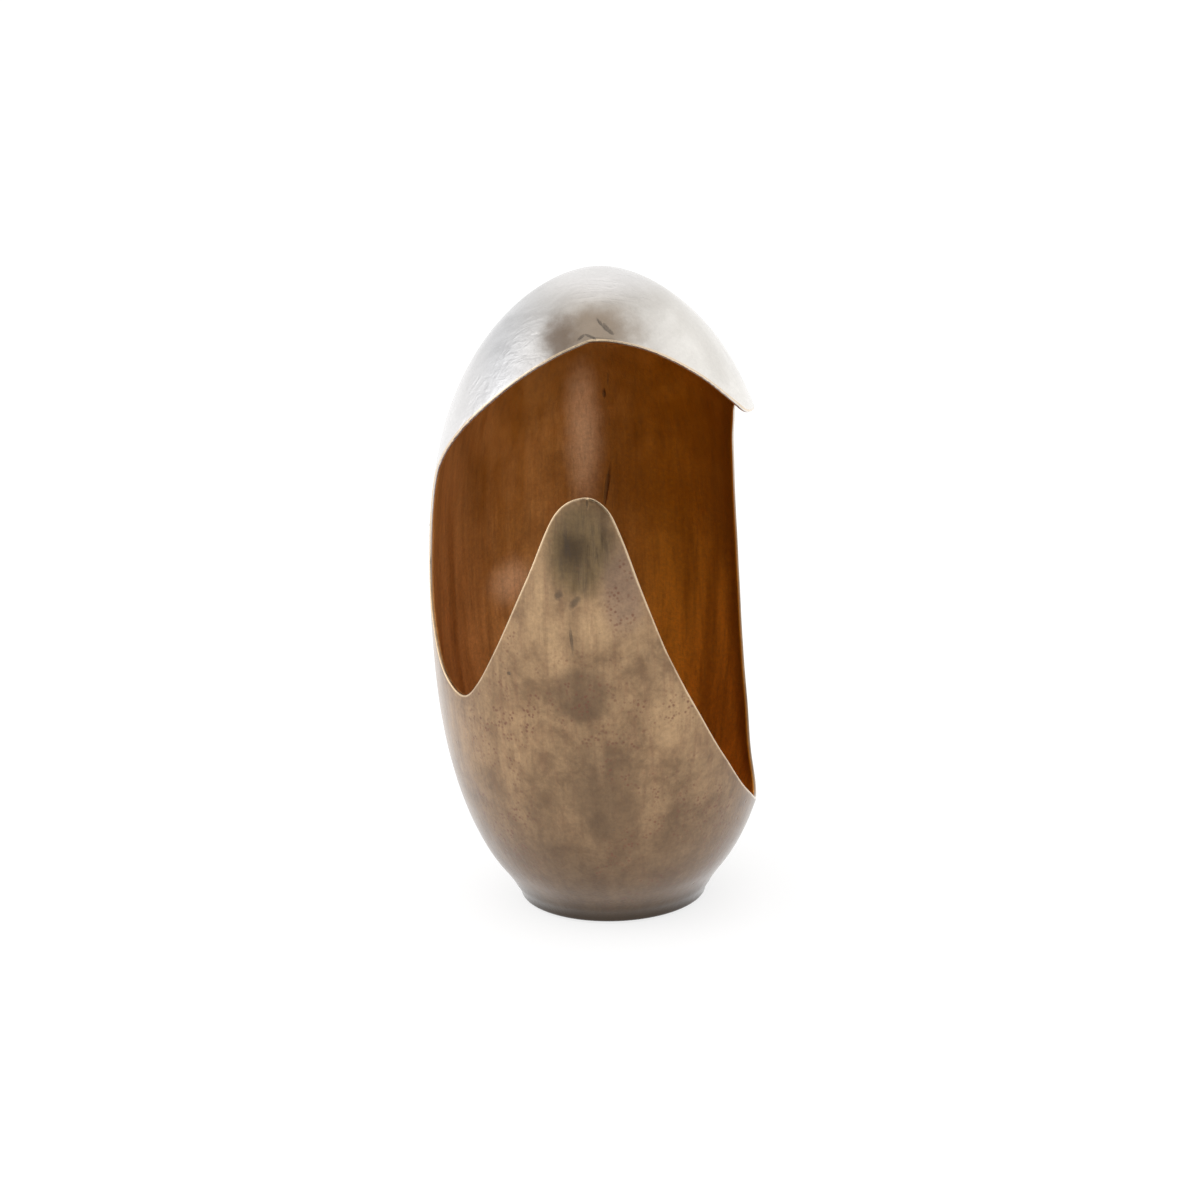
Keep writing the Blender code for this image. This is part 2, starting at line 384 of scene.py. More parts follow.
def crown_normals(points):
    """Outward directions of the drawn crown, and how far each point lies within the crown's middle.
    The columns run together there, too close for the mesh's own normals."""
    out = np.maximum(np.hypot(points[:, 0], points[:, 1]), 1e-9)
    share = np.clip(out / BELLY_RADIUS, 0.0, 0.9)
    power, root = CROWN_POWERS[1], 1 / CROWN_POWERS[0]
    fall = (HEIGHT - BELLY_HEIGHT) / BELLY_RADIUS * root * power
    fall = fall * (1 - share**power) ** (root - 1) * share ** (power - 1)
    normals = np.column_stack([points[:, :2] * (fall / out)[:, None], np.ones(len(points))])
    normals /= np.linalg.norm(normals, axis=1)[:, None]
    within = smooth_step(CROWN_PATCH, CROWN_PATCH / 2, out) * (points[:, 2] > CROWN_LOW)
    return normals, within[:, None]


def even_crown(shell):
    """Sets the inner skin of the crown's middle one wall's thickness under the outer skin."""
    points = points_of(shell)
    outer, inner = np.split(points, 2)
    normals, within = crown_normals(outer)
    inner = inner * (1 - within) + (outer - WALL * normals) * within
    put_points(shell, np.vstack([outer, inner]))


def hand_worked(shell):
    """Presses the skin in a little here and there, as casting and dressing by hand leave it."""
    points = points_of(shell)
    normals = np.empty(len(points) * 3, np.float32)
    shell.data.vertices.foreach_get("normal", normals)
    normals = normals.reshape(-1, 3).astype(float)
    crown, within = crown_normals(points)
    normals = normals * (1 - within) + crown * within
    slow = [noise3.noise(Vector(point) * SLOW_WAVES) for point in points]
    quick = [noise3.noise(Vector(point) * QUICK_WAVES + QUICK_SHIFT) for point in points]
    press = SLOW_DEPTH * (np.array(slow) + 1) / 2 + QUICK_DEPTH * (np.array(quick) + 1) / 2
    for centre, size, depth in DENTS:
        far = np.linalg.norm((points - centre) / size, axis=1)
        press += depth * np.exp(-((DENT_FALL * far) ** 2))
    press *= smooth_step(*TRUE_FOOT, points[:, 2])
    put_points(shell, points - normals * press[:, None])


def raise_ledge(shell):
    """Thickens the flange inside the foot into the ledge just under the floor plate."""
    flange_top = FOOT_BOTTOM + WALL
    near = 0.0002
    inner_wall = float(skin_radius(flange_top)) - WALL - FOOT_EDGE
    start_edit(shell, "FACE")

    def on_flange(face):
        middle = face.calc_center_median()
        level = abs(middle.z - flange_top) < near and face.normal.z > 0.9
        return level and middle.xy.length < inner_wall

    pick(shell, "faces", on_flange)
    rise = FLOOR_LOW.z - FLOOR_GAP - flange_top
    bpy.ops.mesh.extrude_region_move(TRANSFORM_OT_translate={"value": (0, 0, rise)})
    end_edit()


def whole_casting():
    """The two castings as one: a flat sheet slit, wrapped round the egg and thickened.
    Gives the shell, its outer skin for measuring depth, and the opening's edge."""
    rim = rim_loop()
    band_degrees, band_z = band_loop(rim)
    (degrees, radius, z), stations, split_row = skin_grid(band_degrees, band_z)
    rows, columns = z.shape

    deselect_all()
    bpy.ops.mesh.primitive_grid_add(x_subdivisions=columns - 1, y_subdivisions=rows - 1, size=1)
    shell = bpy.context.object
    shell.name = "castings"
    flat = points_of(shell)
    column = np.rint((flat[:, 0] + 0.5) * (columns - 1)).astype(int)
    row = np.rint((flat[:, 1] + 0.5) * (rows - 1)).astype(int)

    # Cut the opening as a slit in the flat sheet, then wrap the sheet, which pulls the slit open
    slit_y = (split_row - 0.5) / (rows - 1) - 0.5
    slit_x = (stations - 1) / (columns - 1) - 0.5
    half_row = 0.25 / (rows - 1)
    start_edit(shell, "FACE")

    def in_slit(face):
        middle = face.calc_center_median()
        return middle.x < slit_x and abs(middle.y - slit_y) < half_row

    pick(shell, "faces", in_slit)
    bpy.ops.mesh.delete(type="FACE")
    end_edit()
    put_points(shell, on_egg(degrees[row, column], z[row, column], radius[row, column]))

    # Close the join at the back and the crown, then run the rim band out to the opening's edge
    start_edit(shell, "VERT")
    bpy.ops.mesh.select_all(action="SELECT")
    bpy.ops.mesh.remove_doubles(threshold=WELD)
    bpy.ops.mesh.select_all(action="DESELECT")
    bpy.ops.mesh.select_non_manifold(use_wire=False, use_boundary=True, use_multi_face=False)
    mesh = bmesh.from_edit_mesh(shell.data)
    for vertex in mesh.verts:
        if vertex.co.z < FOOT_HEIGHT:
            vertex.select_set(False)
    mesh.select_flush(False)
    bmesh.update_edit_mesh(shell.data)
    bpy.ops.mesh.extrude_region_move(TRANSFORM_OT_translate={"value": (0, 0, 0)})
    band = on_egg(band_degrees, band_z)
    finder = KDTree(len(band))
    for index, point in enumerate(band):
        finder.insert(point, index)
    finder.balance()
    mesh = bmesh.from_edit_mesh(shell.data)
    for vertex in mesh.verts:
        if vertex.select:
            vertex.co = rim[finder.find(vertex.co)[1]]
    bmesh.update_edit_mesh(shell.data)
    bpy.ops.mesh.select_all(action="SELECT")
    bpy.ops.mesh.normals_make_consistent(inside=False)
    end_edit()
    hand_worked(shell)
    corners = [vertex.co for vertex in shell.data.vertices]
    skin = BVHTree.FromPolygons(corners, [face.vertices for face in shell.data.polygons])

    wall = shell.modifiers.new("wall", "SOLIDIFY")
    wall.thickness = WALL
    wall.offset = -1
    wall.use_quality_normals = True
    apply_modifier(shell, wall)
    even_crown(shell)
    start_edit(shell, "EDGE")
    bpy.ops.mesh.edges_select_sharp(sharpness=SHARP)
    bpy.ops.mesh.bevel(offset=RIM_ROUNDING, segments=3, affect="EDGES")
    end_edit()
    raise_ledge(shell)
    return shell, skin, rim


def cut_at(piece, x, keep_right):
    """Cuts a piece across at x and keeps one side, closed where it was cut."""
    start_edit(piece, "VERT")
    bpy.ops.mesh.select_all(action="SELECT")
    plane = {"plane_co": (x, 0, 0), "plane_no": (1, 0, 0), "threshold": SAW_SNAP}
    bpy.ops.mesh.bisect(use_fill=True, clear_inner=keep_right, clear_outer=not keep_right, **plane)
    end_edit()


def copy_of(piece, name):
    other = piece.copy()
    other.data = piece.data.copy()
    other.name = name
    bpy.context.scene.collection.objects.link(other)
    return other


def split_castings(shell):
    """Saws the shell into the left and right castings and the two brazed strips between them."""
    left = copy_of(shell, "left_casting")
    right = copy_of(shell, "right_casting")
    hood_braze = copy_of(shell, "hood_and_back_braze")
    cut_at(left, -HALF_SEAM, False)
    cut_at(right, HALF_SEAM, True)
    cut_at(hood_braze, -HALF_SEAM, True)
    cut_at(hood_braze, HALF_SEAM, False)
    bowl_braze = copy_of(hood_braze, "bowl_braze")
    tongue_top = float(height_at(TONGUE_TOP_LEVEL))

    def on_bowl_front(vertex):
        return vertex.co.y < 0 and vertex.co.z < tongue_top

    def elsewhere(vertex):
        return not on_bowl_front(vertex)

    for piece, unwanted in ((hood_braze, on_bowl_front), (bowl_braze, elsewhere)):
        start_edit(piece, "VERT")
        pick(piece, "verts", unwanted)
        bpy.ops.mesh.delete(type="VERT")
        end_edit()
    bpy.data.objects.remove(shell, do_unlink=True)
    return left, right, hood_braze, bowl_braze


# Shader helpers


def add_node(tree, kind, **settings):
    node = tree.nodes.new(kind)
    for name, value in settings.items():
        setattr(node, name, value)
    return node


def feed(tree, socket, value):
    """Gives a socket a fixed value, or wires another socket to it."""
    if isinstance(value, bpy.types.NodeSocket):
        tree.links.new(value, socket)
    else:
        socket.default_value = value


def calc(tree, operation, *values):
    node = add_node(tree, "ShaderNodeMath", operation=operation)
    for socket, value in zip(node.inputs, values):
        feed(tree, socket, value)
    return node.outputs[0]


def between(tree, value, low, high):
    """Rises softly from 0 at low to 1 at high, or falls from 1 to 0 where low is the larger."""
    node = add_node(tree, "ShaderNodeMapRange", interpolation_type="SMOOTHSTEP")
    feed(tree, node.inputs["Value"], value)
    feed(tree, node.inputs["From Min"], low)
    feed(tree, node.inputs["From Max"], high)
    return node.outputs["Result"]


def ease(tree, share, first, second):
    """Mixes two numbers by a mask."""
    node = add_node(tree, "ShaderNodeMix", data_type="FLOAT")
    for socket, value in zip((node.inputs[0], node.inputs[2], node.inputs[3]), (share, first, second)):
        feed(tree, socket, value)
    return node.outputs[0]


def blend(tree, share, first, second):
    """Mixes two colours by a mask."""
    node = add_node(tree, "ShaderNodeMix", data_type="RGBA")
    feed(tree, node.inputs[0], share)
    for socket, colour in ((node.inputs[6], first), (node.inputs[7], second)):
        feed(tree, socket, (*colour, 1.0) if isinstance(colour, tuple) else colour)
    return node.outputs[2]


def vector_calc(tree, operation, first, second, output=0):
    node = add_node(tree, "ShaderNodeVectorMath", operation=operation)
    feed(tree, node.inputs[0], first)
    feed(tree, node.inputs["Scale" if operation == "SCALE" else 1], second)
    return node.outputs[output]


def noise(tree, where, scale, detail=3.0, roughness=0.55, warp=0.0):
    node = add_node(tree, "ShaderNodeTexNoise")
    labels = ("Vector", "Scale", "Detail", "Roughness", "Distortion")
    for label, value in zip(labels, (where, scale, detail, roughness, warp)):
        feed(tree, node.inputs[label], value)
    return node.outputs["Fac"]


def cells(tree, where, scale):
    node = add_node(tree, "ShaderNodeTexVoronoi", feature="F1")
    feed(tree, node.inputs["Vector"], where)
    feed(tree, node.inputs["Scale"], scale)
    return node.outputs["Distance"]


def object_place(tree):
    return add_node(tree, "ShaderNodeTexCoord").outputs["Object"]


def stored(tree, name):
    return add_node(tree, "ShaderNodeAttribute", attribute_name=name).outputs["Fac"]


def new_group(name, inputs, outputs):
    """Empty shader group with named inputs and number outputs."""
    group = bpy.data.node_groups.new(name, "ShaderNodeTree")
    for label, value in inputs.items():
        kind = "NodeSocketVector" if isinstance(value, tuple) else "NodeSocketFloat"
        group.interface.new_socket(name=label, in_out="INPUT", socket_type=kind).default_value = value
    for label in outputs:
        group.interface.new_socket(name=label, in_out="OUTPUT", socket_type="NodeSocketFloat")
    given = add_node(group, "NodeGroupInput").outputs
    out = add_node(group, "NodeGroupOutput").inputs
    return group, given, out


def use_group(tree, group, **values):
    node = add_node(tree, "ShaderNodeGroup", node_tree=group)
    for label, value in values.items():
        feed(tree, node.inputs[label], value)
    return node.outputs


# What the finishes share


def weathering_group():
    """Masks of an old brass patina: clouds, upright bands and streaks, dots, freckles and fine grain."""
    outputs = ("Cloud", "Bands", "Streaks", "Dots", "Freckles", "Grain")
    group, given, out = new_group("weathering", {"Scale": 1.0}, outputs)
    place = vector_calc(group, "SCALE", object_place(group), given["Scale"])
    cloud = noise(group, place, scale=17.0, detail=6.0, roughness=0.60, warp=0.5)
    feed(group, out["Cloud"], between(group, cloud, 0.35, 0.65))
    tall = vector_calc(group, "MULTIPLY", place, (1.0, 1.0, 0.12))
    bands = noise(group, tall, scale=42.0, detail=4.0, roughness=0.6, warp=0.4)
    feed(group, out["Bands"], between(group, bands, 0.36, 0.64))
    upright = vector_calc(group, "MULTIPLY", place, (1.0, 1.0, 0.10))
    streaks = noise(group, upright, scale=80.0, detail=4.0, roughness=0.6, warp=0.3)
    feed(group, out["Streaks"], between(group, streaks, 0.46, 0.70))
    broken = between(group, noise(group, place, scale=95.0, roughness=0.6), 0.40, 0.60)
    dots = between(group, cells(group, place, scale=330.0), 0.46, 0.18)
    dots = calc(group, "MULTIPLY", dots, broken)
    feed(group, out["Dots"], dots)
    fields = between(group, noise(group, place, scale=22.0), 0.46, 0.62)
    feed(group, out["Freckles"], calc(group, "MULTIPLY", dots, fields))
    feed(group, out["Grain"], noise(group, place, scale=380.0, detail=5.0, roughness=0.7))
    return group


def stain_group():
    """Soft stain with a ragged edge: 1 in the middle and 0 outside."""
    inputs = {
        "Centre": (0.0, 0.0, 0.0),
        "Size": (0.02, 0.02, 0.02),
        "Turn": 0.0,
        "Ragged": 0.5,
        "Grain": 62.0,
        "Softness": 0.6,
    }
    group, given, out = new_group("stain", inputs, ("Mask",))
    place = object_place(group)
    offset = vector_calc(group, "SUBTRACT", place, given["Centre"])
    turned = add_node(group, "ShaderNodeVectorRotate", rotation_type="Y_AXIS")
    feed(group, turned.inputs["Vector"], offset)
    feed(group, turned.inputs["Angle"], given["Turn"])
    shares = vector_calc(group, "DIVIDE", turned.outputs[0], given["Size"])
    far = vector_calc(group, "LENGTH", shares, (0.0, 0.0, 0.0), "Value")
    rough = noise(group, place, given["Grain"], detail=5.0, roughness=0.65)
    rough = calc(group, "SUBTRACT", rough, 0.5)
    ragged = calc(group, "MULTIPLY_ADD", rough, given["Ragged"], far)
    start = calc(group, "SUBTRACT", 1.0, given["Softness"])
    feed(group, out["Mask"], calc(group, "SUBTRACT", 1.0, between(group, ragged, start, 1.0)))
    return group


def wear_group():
    """Rubbed, bright metal along the opening, where the stored rim value nears 1."""
    group, given, out = new_group("rim wear", {"Width": 0.038, "Ragged": 0.04}, ("Wear",))
    rough = noise(group, object_place(group), scale=150.0, detail=4.0, roughness=0.65)
    rough = calc(group, "SUBTRACT", rough, 0.5)
    near = calc(group, "MULTIPLY_ADD", rough, given["Ragged"], stored(group, "rim"))
    start = calc(group, "SUBTRACT", 1.0, given["Width"])
    feed(group, out["Wear"], between(group, near, start, 1.0))
    return group


def relief_group():
    """Height of a sand-cast and dressed skin: ripples, folds, file strokes, sand grain and a few pits."""
    inputs = {"Ripple": 1.0, "Folds": 0.0, "Strokes": 0.2, "Sand": 0.11, "Pits": 0.5}
    group, given, out = new_group("cast relief", inputs, ("Height",))
    place = object_place(group)
    layered = vector_calc(group, "MULTIPLY", place, (0.55, 0.55, 1.5))
    ripple = noise(group, layered, scale=38.0, detail=2.0, roughness=0.5, warp=1.2)
    height = calc(group, "MULTIPLY", ripple, given["Ripple"])
    across = vector_calc(group, "MULTIPLY", place, (0.30, 1.0, 1.0))
    folds = noise(group, across, scale=105.0, detail=2.0, roughness=0.5, warp=1.6)
    height = calc(group, "MULTIPLY_ADD", folds, given["Folds"], height)
    upright = vector_calc(group, "MULTIPLY", place, (1.0, 1.0, 0.08))
    strokes = noise(group, upright, scale=240.0, detail=2.0)
    height = calc(group, "MULTIPLY_ADD", strokes, given["Strokes"], height)
    sand = noise(group, place, scale=650.0, roughness=0.6)
    height = calc(group, "MULTIPLY_ADD", sand, given["Sand"], height)
    holes = between(group, cells(group, place, scale=58.0), 0.11, 0.03)
    few = between(group, noise(group, place, scale=19.0, detail=1.0), 0.56, 0.66)
    pits = calc(group, "MULTIPLY", holes, few)
    deep = calc(group, "MULTIPLY", pits, given["Pits"])
    feed(group, out["Height"], calc(group, "SUBTRACT", height, deep))
    return group


def turned_group():
    """Rings left by turning or polishing sheet metal about the axis."""
    group, given, out = new_group("turned rings", {"Rings": 900.0}, ("Rings", "Dull"))
    place = object_place(group)
    flat = vector_calc(group, "MULTIPLY", place, (1.0, 1.0, 0.0))
    radius = vector_calc(group, "LENGTH", flat, (0.0, 0.0, 0.0), "Value")
    line = add_node(group, "ShaderNodeCombineXYZ")
    feed(group, line.inputs["X"], radius)
    feed(group, out["Rings"], noise(group, line.outputs[0], given["Rings"], detail=2.0, roughness=0.7))
    dull = noise(group, place, scale=30.0, detail=5.0, roughness=0.6)
    feed(group, out["Dull"], between(group, dull, 0.38, 0.66))
    return group


WEATHERING = weathering_group()
STAIN = stain_group()
WEAR = wear_group()
RELIEF = relief_group()
TURNED = turned_group()


# Finishes


def new_finish(name, **settings):
    """Material with one Principled shader, its fixed values set on the shader itself."""
    material = bpy.data.materials.new(name)
    material.use_nodes = True
    shader = material.node_tree.nodes["Principled BSDF"]
    for label, value in settings.items():
        shader.inputs[label.replace("_", " ")].default_value = value
    return material, material.node_tree, shader


def add_bump(tree, shader, height, depth):
    bump = add_node(tree, "ShaderNodeBump")
    bump.inputs["Distance"].default_value = depth
    bump.inputs["Strength"].default_value = 1.0
    feed(tree, bump.inputs["Height"], height)
    feed(tree, shader.inputs["Normal"], bump.outputs["Normal"])


# Colours of the finishes. A pair runs from a dark cloud to a light one,
# except the inside's painted light low down, from left to right, and FELT_BLACK, from dark fibres to light
# ones.
TAN_LIGHT = (0.380, 0.230, 0.116)
TAN_DARK = (0.214, 0.124, 0.059)
TAN_RED = (0.185, 0.070, 0.038)
TAN_PINK = (0.275, 0.175, 0.120)
TAN_GOLD = (0.62, 0.405, 0.212)
OLIVE_STAIN = (0.062, 0.033, 0.008)
OLIVE_LIGHT = (0.205, 0.130, 0.054)
BROWN_STAIN = (0.084, 0.044, 0.020)
# The hood's pale colours are partly its own pale brass, and partly a painted reflection of the studio light.
PALE_MIDDLE = ((0.47, 0.435, 0.395), (0.60, 0.57, 0.53))
PALE_LEFT = ((0.48, 0.48, 0.49), (0.62, 0.62, 0.63))
# Painted highlight: bright cream for the hood's right side.
PALE_RIGHT_HIGHLIGHT = ((0.78, 0.75, 0.70), (0.94, 0.91, 0.86))
# Painted highlight: near white for the hood's top and its far left edge.
PALE_HIGHLIGHT = (0.84, 0.82, 0.81)
PALE_BACK = (0.62, 0.52, 0.39)
HOOD_BEIGE = (0.205, 0.143, 0.086)
# Partly a stain, partly painted shade on the left side of the hood's dent.
HOOD_STAIN_AND_SHADE = (0.120, 0.075, 0.042)
INNER_LEFT = ((0.35, 0.136, 0.028), (0.46, 0.190, 0.048))
INNER_RIGHT = ((0.38, 0.120, 0.004), (0.50, 0.176, 0.013))
INNER_DARK = (0.27, 0.082, 0.004)
# Painted light: the inside's colour where it is lit, low down and by the far left edge, from left to right.
INNER_LIT_LOW = ((0.76, 0.365, 0.120), (0.98, 0.430, 0.045))
# Painted highlight for the inside back wall.
INNER_HIGHLIGHT = (0.90, 0.56, 0.32)
RIM_BRIGHT = (0.80, 0.60, 0.38)
# Painted shade: near black towards the foot's lower edge, where it meets the floor.
FOOT_PAINTED_SHADE = (0.032, 0.020, 0.011)
FELT_BLACK = ((0.006, 0.006, 0.005), (0.030, 0.027, 0.024))
MARK_DARK = (0.045, 0.032, 0.022)

# Heights of the cast relief, the turned rings and the felt's fibres, and the share that a mark is sunk by
RELIEF_DEPTH = 0.0012
RING_DEPTH = 0.0001
FIBRE_DEPTH = 0.0004
MARK_SINK = 0.7

# Stains: centre, size, raggedness, softness
TONGUE_STAIN = ((-0.0105, -0.120, 0.290), (0.030, 0.06, 0.041), 0.45, 0.50)
TONGUE_CORE = ((-0.0160, -0.120, 0.291), (0.015, 0.06, 0.026), 0.90, 0.80)
TONGUE_TIP_STAIN = ((0.002, -0.117, 0.312), (0.026, 0.06, 0.020), 0.60, 0.80)
# Partly a stain, partly painted shade on the left side of the hood's dent.
HOOD_LEFT_STAIN_AND_SHADE = ((-0.0235, -0.062, 0.423), (0.019, 0.04, 0.023), 0.70, 0.85)
HOOD_MIDDLE_STAIN = ((0.002, -0.060, 0.427), (0.044, 0.04, 0.026), 0.50, 0.75)
# The belly and lower stains are partly real stain, and partly a painted dark reflection in the bowl's front
# middle.
BELLY_STAIN_AND_REFLECTION = ((-0.0125, -0.124, 0.189), (0.028, 0.06, 0.024), 0.40, 0.45)
LOWER_STAIN_AND_REFLECTION = ((0.004, -0.115, 0.115), (0.036, 0.08, 0.066), 0.90, 0.75)
LOWER_SPOT = ((-0.0028, -0.110, 0.088), (0.011, 0.06, 0.019), 0.50, 0.60)
LIGHT_LINE = ((-0.0007, -0.120, 0.140), (0.0050, 0.06, 0.026), 0.60, 0.95)
# Painted highlights on the inside back wall and low on its left, in the same form as the stains.
HIGHLIGHT_BAND = ((-0.019, 0.118, 0.315), (0.019, 0.05, 0.085), 0.40, 0.95)
HIGHLIGHT_SPOT = ((-0.075, 0.100, 0.205), (0.024, 0.05, 0.026), 0.50, 0.95)
FRECKLE_FIELD = ((0.0175, -0.123, 0.262), (0.020, 0.05, 0.040), 0.60, 0.60)
# Painted highlights where the left light falls: the tongue's left flank and the bowl.
GOLD_HIGHLIGHT_FIELDS = [
    ((-0.041, -0.115, 0.262), (0.016, 0.05, 0.052), 0.80, 0.80),
    ((0.000, -0.124, 0.236), (0.024, 0.05, 0.022), 0.80, 0.80),
    ((0.050, -0.112, 0.176), (0.034, 0.06, 0.032), 0.90, 0.85),
    ((-0.030, -0.118, 0.222), (0.015, 0.05, 0.030), 0.90, 0.85),
]

# Stains in the order they are laid, with their strength and colour
BOWL_STAINS = [
    (LOWER_STAIN_AND_REFLECTION, 0.50, BROWN_STAIN),
    (LOWER_SPOT, 0.40, BROWN_STAIN),
    (BELLY_STAIN_AND_REFLECTION, 0.55, BROWN_STAIN),
    (LIGHT_LINE, 0.18, TAN_GOLD),
    (TONGUE_TIP_STAIN, 0.15, OLIVE_LIGHT),
]
HOOD_STAINS = [
    (HOOD_MIDDLE_STAIN, 0.80, HOOD_BEIGE),
    (HOOD_LEFT_STAIN_AND_SHADE, 0.80, HOOD_STAIN_AND_SHADE),
]

# Small marks left by the casting: centre, size, and turn in degrees
OUTER_MARKS = [
    ((-0.0258, -0.1216, 0.2602), (0.0038, 0.012, 0.0046), 0),
    ((-0.0149, -0.1236, 0.2554), (0.0066, 0.012, 0.0034), 48),
    ((-0.0180, -0.1237, 0.2290), (0.0013, 0.012, 0.0120), 4),
    ((-0.0625, -0.1080, 0.2006), (0.0016, 0.012, 0.0016), 0),
    ((-0.0053, -0.1168, 0.3230), (0.0013, 0.012, 0.0050), 0),
    ((0.0036, -0.0590, 0.4332), (0.0042, 0.012, 0.0013), -42),
    ((0.0078, -0.0619, 0.4300), (0.0048, 0.012, 0.0017), -38),
    ((0.0108, -0.0640, 0.4276), (0.0034, 0.012, 0.0013), -30),
    ((-0.0090, -0.0668, 0.4248), (0.0040, 0.012, 0.0009), 35),
    ((-0.0025, -0.0668, 0.4252), (0.0062, 0.012, 0.0008), -20),
]
INNER_MARKS = [
    ((-0.0035, 0.1210, 0.2710), (0.0020, 0.012, 0.0220), -9),
    ((-0.0033, 0.1088, 0.3442), (0.0016, 0.012, 0.0045), 0),
]


def stain(tree, mark, turn=0.0, grain=62.0):
    """Mask of one stain."""
    centre, size, ragged, softness = mark
    values = {"Centre": centre, "Size": size, "Turn": turn, "Ragged": ragged, "Grain": grain}
    return use_group(tree, STAIN, Softness=softness, **values)["Mask"]


def share_of(tree, mask, amount):
    return calc(tree, "MULTIPLY", mask, amount)


def wash(tree, skin, mask, amount, colour):
    """Lays a colour over the skin where a mask is, at part of its full strength."""
    return blend(tree, share_of(tree, mask, amount), skin, colour)


def all_marks(tree, marks):
    """One mask of many small marks."""
    mask = 0.0
    for centre, size, degrees in marks:
        mark = stain(tree, (centre, size, 0.7, 0.7), math.radians(degrees), grain=300.0)
        mask = calc(tree, "MAXIMUM", mask, mark)
    return mask


def mottled_ground(tree, weather, fine, axes):
    """Tan brass with golden clouds and streaks, painted highlights in golden fields, browner towards the
    foot.
    """
    skin = blend(tree, weather["Cloud"], TAN_DARK, TAN_LIGHT)
    skin = wash(tree, skin, weather["Bands"], 0.35, TAN_DARK)
    # Painted highlights in golden fields on the bowl and the tongue's left flank.
    for field in GOLD_HIGHLIGHT_FIELDS:
        skin = wash(tree, skin, stain(tree, field), 0.50, TAN_GOLD)
    skin = wash(tree, skin, fine["Cloud"], 0.40, TAN_GOLD)
    skin = wash(tree, skin, weather["Streaks"], 0.50, TAN_DARK)
    skin = wash(tree, skin, fine["Streaks"], 0.22, TAN_RED)
    return wash(tree, skin, between(tree, axes["Z"], 0.170, 0.010), 0.72, BROWN_STAIN)


def stained_front(tree, skin, weather, fine):
    """The bowl's brown stains, two of them partly a painted dark reflection in its front middle, the dark
    olive stain on the tongue, and the field of red freckles.
    """
    for mark, strength, colour in BOWL_STAINS:
        skin = wash(tree, skin, stain(tree, mark), strength, colour)
    tongue = blend(tree, weather["Streaks"], OLIVE_LIGHT, OLIVE_STAIN)
    tongue = blend(tree, stain(tree, TONGUE_CORE), tongue, OLIVE_STAIN)
    tongue = wash(tree, tongue, fine["Streaks"], 0.45, MARK_DARK)
    skin = wash(tree, skin, stain(tree, TONGUE_STAIN), 0.96, tongue)
    freckled = stain(tree, FRECKLE_FIELD)
    skin = wash(tree, skin, freckled, 0.55, TAN_PINK)
    spots = calc(tree, "MULTIPLY", freckled, weather["Dots"])
    spots = calc(tree, "MAXIMUM", weather["Freckles"], spots)
    return wash(tree, skin, spots, 0.80, TAN_RED)


def hood_reach(tree, weather, axes):
    """Mask of the pale hood, partly rubbed brass and partly a painted reflection of the studio light: it
    comes further down at the sides, and stays off the tongue.
    """
    sideways = calc(tree, "ABSOLUTE", axes["X"])
    height = calc(tree, "MULTIPLY_ADD", sideways, 0.65, axes["Z"])
    height = calc(tree, "MULTIPLY_ADD", weather["Cloud"], 0.022, height)
    height = calc(tree, "MULTIPLY_ADD", weather["Bands"], 0.018, height)
    behind_tongue = between(tree, axes["Y"], -0.110, -0.085)
    return calc(tree, "MULTIPLY", between(tree, height, 0.315, 0.420), behind_tongue)


def pale_hood(tree, weather, axes):
    """Silvery brass of the hood, partly a painted reflection of the studio light: bluish at the left, a
    painted highlight of bright cream at the right, painted highlights near white at the far left and the
    top, warmer at the back.
    """
    pale = blend(tree, weather["Cloud"], *PALE_MIDDLE)
    pale_left = blend(tree, weather["Cloud"], *PALE_LEFT)
    pale = blend(tree, between(tree, axes["X"], -0.005, -0.075), pale, pale_left)
    # Painted highlight: the hood turns bright cream towards the right.
    pale_right = blend(tree, weather["Cloud"], *PALE_RIGHT_HIGHLIGHT)
    pale = blend(tree, between(tree, axes["X"], 0.010, 0.070), pale, pale_right)
    # Painted highlights: near white towards the far left and along the top.
    pale = wash(tree, pale, between(tree, axes["X"], -0.060, -0.105), 0.80, PALE_HIGHLIGHT)
    pale = wash(tree, pale, between(tree, axes["Z"], 0.440, 0.458), 0.85, PALE_HIGHLIGHT)
    pale = wash(tree, pale, between(tree, axes["Y"], 0.000, 0.100), 0.75, PALE_BACK)
    for mark, strength, colour in HOOD_STAINS:
        pale = wash(tree, pale, stain(tree, mark), strength, colour)
    return pale


def outer_skin(tree, weather, fine, axes):
    """Colour outside, from the tan ground up, and the mask of the pale hood; painted shade darkens the
    foot's lower edge.
    """
    skin = mottled_ground(tree, weather, fine, axes)
    skin = stained_front(tree, skin, weather, fine)
    hood = hood_reach(tree, weather, axes)
    # The pale hood, partly a painted reflection of the studio light.
    skin = blend(tree, hood, skin, pale_hood(tree, weather, axes))
    # Painted shade, darkening the foot towards its lower edge.
    return wash(tree, skin, between(tree, axes["Z"], 0.028, 0.002), 0.90, FOOT_PAINTED_SHADE), hood


